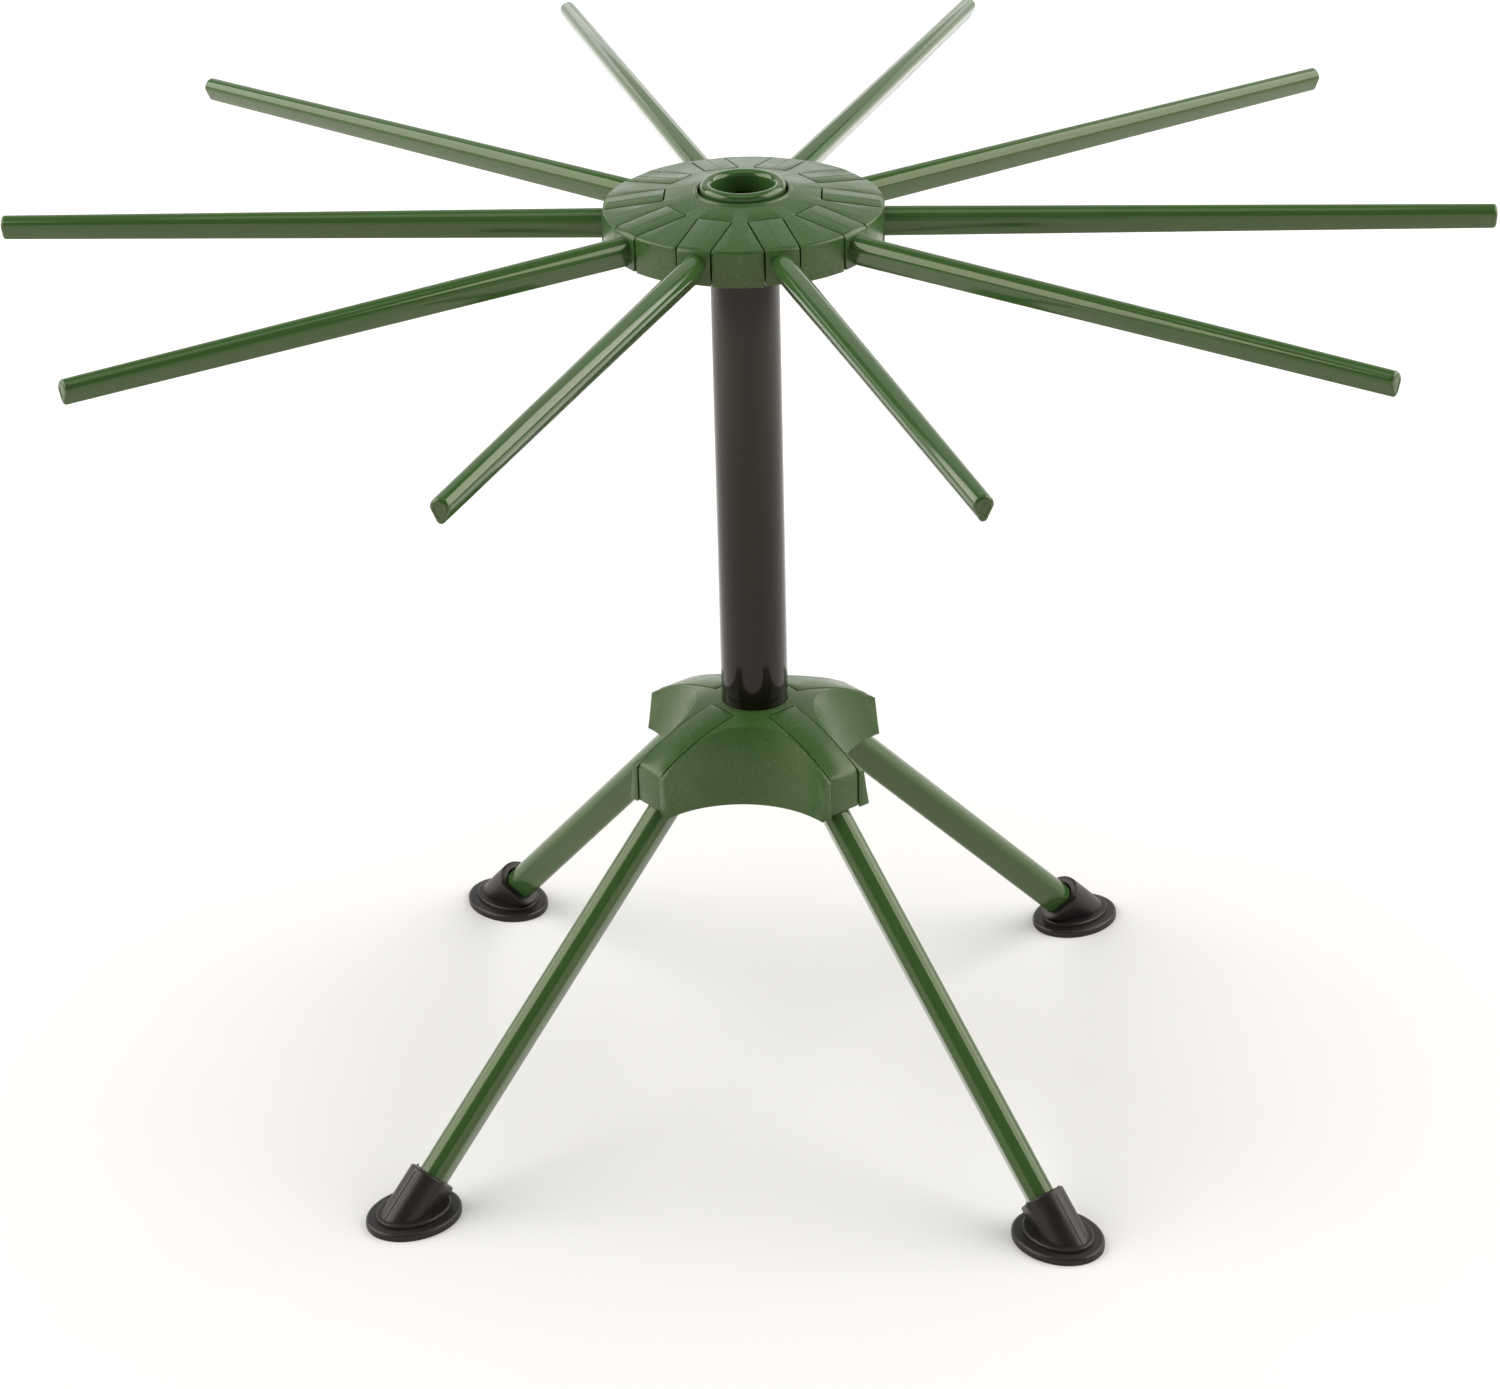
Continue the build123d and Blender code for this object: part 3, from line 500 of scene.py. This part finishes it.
# Hub cover: a shallow cone with an upright rim, moulded in the same green. Ten slots run in
# from the rim, and a low lip surrounds the hole that the collar stands in.
hub_radius = 0.0415
hub_rim = 0.29339
hub_foot = 0.28219
hub_slot_start = 0.0229
hub_slot_half = 0.0055
retainer_top = 0.28439
hub_eye = 0.0134
eye_foot = 0.28639
arm_turns = [radians(3.3 + 36 * number) for number in range(10)]


def cone_at(reach):
    """The height of the hub's cone at a distance from the axis."""
    return hub_rim + (hub_radius - reach) * tan(radians(8.3))


cover = turned([(hub_eye, eye_foot), (hub_eye, cone_at(hub_eye) + 0.0002),
                (0.01385, cone_at(hub_eye) + 0.0004), (0.01425, cone_at(hub_eye) + 0.0003),
                (0.0147, cone_at(0.0147)), (hub_radius, hub_rim), (hub_radius, hub_foot),
                (0.0393, hub_foot), (0.0393, retainer_top + 0.00005),
                (0.0158, retainer_top + 0.00005), (0.0158, eye_foot)], 180)
soften(cover, ring_edges(cover, hub_radius, hub_rim), 0.0008, 4)
soften(cover, ring_edges(cover, hub_radius, hub_foot), 0.0006, 3)
cover = cut(cover, [slot_block(hub_slot_start, hub_slot_half, 0.27, 0.31, 0.0012, turn)
                    for turn in arm_turns], "DIFFERENCE")
soften(cover, sharp_edges(cover, 50), 0.0002, 2)
as_piece(cover, "slotted_cover", [green_plastic], "stand", "hub_cover")

# Collar: a green ring with a half-round bead, on the column's top. Its foot is held between
# the cover and the retainer, and its middle is open.
collar_top = 0.29999
collar_eye = 0.0091
collar_radius = 0.0127
neck_radius = 0.0125
collar_foot_radius = 0.0156
bead_round = 0.00175
collar = turned([(collar_eye, column_head), (collar_eye, collar_top), (collar_radius, collar_top),
                 (collar_radius, 0.2970), (neck_radius, 0.2962), (neck_radius, eye_foot),
                 (collar_foot_radius, eye_foot), (collar_foot_radius, retainer_top),
                 (socket_radius, retainer_top), (socket_radius, column_head)], 128)
soften(collar, ring_edges(collar, collar_eye, collar_top) + ring_edges(collar, collar_radius, collar_top),
       bead_round, 8)
as_piece(collar, "bead_collar", [gloss_green], "stand", "top_collar")

# Arms: ten alike, each one moulding. A block fills the hub's slot and turns there on two stubs,
# and a slim rod tapers out from it, round above and narrow below.
arm_pin = Vector((0.0313, 0, 0.28849))
arm_block_inner = 0.0234
arm_block_foot = 0.28279
arm_block_half = 0.0050
arm_width = 0.0072
arm_depth = 0.0090
arm_nose = 0.0015
arm_tip_width = 0.0057
arm_tip_depth = 0.0073
arm_axis = 0.2874
stub_radius = 0.0019
# An arm's end is rounded over by a millimetre, and its flat middle has a small sunk moulding mark
tip_steps = ((0.973, 0.00038), (0.922, 0.00032), (0.873, 0.00022), (0.829, 0.00008),
             (0.90, 0.0), (0.74, -0.00024), (0.50, 0.00012))
for number, turn in enumerate(arm_turns, start=1):
    arm = bmesh.new()
    block_from_profile(arm, [(arm_block_inner, arm_block_foot), (arm_block_inner, cone_at(arm_block_inner)),
                             (hub_radius, hub_rim), (hub_radius, arm_block_foot)], arm_block_half)
    soften(arm, edges_near(arm, arm_block_inner, arm_block_foot), 0.0054, 10)
    soften(arm, edges_near(arm, hub_radius, hub_rim), 0.0016, 5)
    upright_edges = [edge for edge in arm.edges
                     if abs(edge.verts[0].co.x - edge.verts[1].co.x) < 1e-5
                     and abs(edge.verts[0].co.y - edge.verts[1].co.y) < 1e-5
                     and abs(edge.verts[0].co.z - edge.verts[1].co.z) > 2e-3]
    soften(arm, upright_edges, 0.0009, 4)
    soften(arm, sharp_edges(arm, 40), 0.0003, 2)
    rod = bmesh.new()
    ring = drop_face(rod, arm_width, arm_depth, arm_nose)
    place_section(rod, ring, Vector((0.0400, 0, 0.28739)), Vector((0, 1, 0)), Vector((0, 0, 1)))
    tip = rod_from_drop(rod, ring, Vector((1, 0, 0)), 0.1790,
                        (1, arm_tip_width / arm_width, arm_tip_depth / arm_depth))
    for shrink, further in tip_steps:
        pushed = bmesh.ops.extrude_face_region(rod, geom=tip)["geom"]
        bmesh.ops.delete(rod, geom=[face for face in tip if face.is_valid], context="FACES_ONLY")
        tip = [item for item in pushed if isinstance(item, bmesh.types.BMFace)]
        inner = [item for item in pushed if isinstance(item, bmesh.types.BMVert)]
        bmesh.ops.scale(rod, verts=inner, vec=(1, shrink, shrink),
                        space=Matrix.Translation((0, 0, -arm_axis)))
        bmesh.ops.translate(rod, verts=inner, vec=(further, 0, 0))
    bmesh.ops.recalc_face_normals(rod, faces=rod.faces)
    seam(rod, Vector((0.0420, 0, 0.29185)), Vector((0.2190, 0, 0.29101)), 0.00016)
    for face in rod.faces:
        face.material_index = 1
    merged(arm, rod)
    seam(arm, Vector((0.0242, 0, cone_at(0.0242) - 0.00002)),
         Vector((0.0403, 0, cone_at(0.0403) - 0.00002)), 0.00016)
    stub = bmesh.new()
    bmesh.ops.create_cone(stub, cap_ends=True, segments=32, radius1=stub_radius, radius2=stub_radius,
                          depth=0.0108)
    bmesh.ops.rotate(stub, verts=stub.verts, cent=(0, 0, 0),
                     matrix=Matrix.Rotation(radians(90), 3, "X"))
    bmesh.ops.translate(stub, verts=stub.verts, vec=arm_pin)
    merged(arm, stub)
    bmesh.ops.rotate(arm, verts=arm.verts, cent=(0, 0, 0), matrix=Matrix.Rotation(turn, 3, "Z"))
    as_piece(arm, f"drying_arm_{number:02d}", [green_plastic, gloss_green],
                     f"arm_{number:02d}", f"arm_{number:02d}")

# Table and wall: a plain white round table with a low white wall far round it. It keeps the
# rack's soft shadow, and goes to pure white with distance, with no more light on the plastic.
stage = bmesh.new()
bmesh.ops.create_circle(stage, cap_ends=True, segments=128, radius=4.0)
wall_head = [item for item in bmesh.ops.extrude_edge_only(stage, edges=list(stage.edges))["geom"]
             if isinstance(item, bmesh.types.BMVert)]
bmesh.ops.translate(stage, vec=(0, 0, 1.1), verts=wall_head)
stage_mesh = bpy.data.meshes.new("table_and_wall")
stage.to_mesh(stage_mesh)
stage.free()
table_and_wall = bpy.data.objects.new("table_and_wall", stage_mesh)
bpy.context.scene.collection.objects.link(table_and_wall)
white = bpy.data.materials.new("white_table")
white.use_nodes = True
tree = white.node_tree
paint = tree.nodes["Principled BSDF"]
paint.inputs["Base Color"].default_value = (0.745, 0.727, 0.702, 1)
paint.inputs["Roughness"].default_value = 0.9
paint.inputs["Specular IOR Level"].default_value = 0.0
where = tree.nodes.new("ShaderNodeTexCoord")
far = tree.nodes.new("ShaderNodeVectorMath")
far.operation = "LENGTH"
rise = tree.nodes.new("ShaderNodeMapRange")
rise.inputs["From Min"].default_value = 0.06
rise.inputs["From Max"].default_value = 1.5
rise.inputs["To Min"].default_value = 0.0
rise.inputs["To Max"].default_value = 0.90
path = tree.nodes.new("ShaderNodeLightPath")
seen = tree.nodes.new("ShaderNodeMath")
seen.operation = "MAXIMUM"
seen_through = tree.nodes.new("ShaderNodeMath")
seen_through.operation = "MAXIMUM"
share = tree.nodes.new("ShaderNodeMath")
share.operation = "MULTIPLY"
glow = tree.nodes.new("ShaderNodeEmission")
glow.inputs["Color"].default_value = (1.0, 1.0, 1.0, 1)
both = tree.nodes.new("ShaderNodeAddShader")
tree.links.new(where.outputs["Object"], far.inputs[0])
tree.links.new(far.outputs["Value"], rise.inputs["Value"])
tree.links.new(path.outputs["Is Camera Ray"], seen.inputs[0])
tree.links.new(path.outputs["Is Glossy Ray"], seen.inputs[1])
tree.links.new(seen.outputs["Value"], seen_through.inputs[0])
tree.links.new(path.outputs["Is Transmission Ray"], seen_through.inputs[1])
tree.links.new(seen_through.outputs["Value"], share.inputs[0])
tree.links.new(rise.outputs["Result"], share.inputs[1])
tree.links.new(share.outputs["Value"], glow.inputs["Strength"])
tree.links.new(paint.outputs["BSDF"], both.inputs[0])
tree.links.new(glow.outputs["Emission"], both.inputs[1])
tree.links.new(both.outputs["Shader"], tree.nodes["Material Output"].inputs["Surface"])
stage_mesh.materials.append(white)

# Light: a large soft box on each side draws the broad pale bands along the arms and the legs,
# and dim ones behind and overhead draw the sheen on the hub. The room itself is dim.
def soft_light(name, place, size, power):
    """A rectangular soft box that faces the hub."""
    data = bpy.data.lights.new(name, "AREA")
    data.shape = "RECTANGLE"
    data.size, data.size_y = size
    data.energy = power
    lamp = bpy.data.objects.new(name, data)
    bpy.context.scene.collection.objects.link(lamp)
    lamp.location = place
    to_hub = Vector((0, 0, 0.28)) - lamp.location
    lamp.rotation_euler = to_hub.to_track_quat("-Z", "Y").to_euler()
    lamp.visible_camera = False


soft_light("right_box", (1.12, 0.24, 0.96), (1.70, 1.10), 23.0)
soft_light("left_box", (-1.14, -0.12, 0.96), (1.66, 1.10), 22.5)
soft_light("back_box", (-0.15, 2.20, 1.40), (3.2, 2.0), 12.0)
soft_light("top_box", (0.0, -0.25, 2.10), (1.6, 1.1), 6.0)
world = bpy.data.worlds.new("dim_room")
bpy.context.scene.world = world
world.use_nodes = True
sky = world.node_tree.nodes["Background"]
sky.inputs["Color"].default_value = (1.0, 0.985, 0.965, 1)
sky.inputs["Strength"].default_value = 0.12
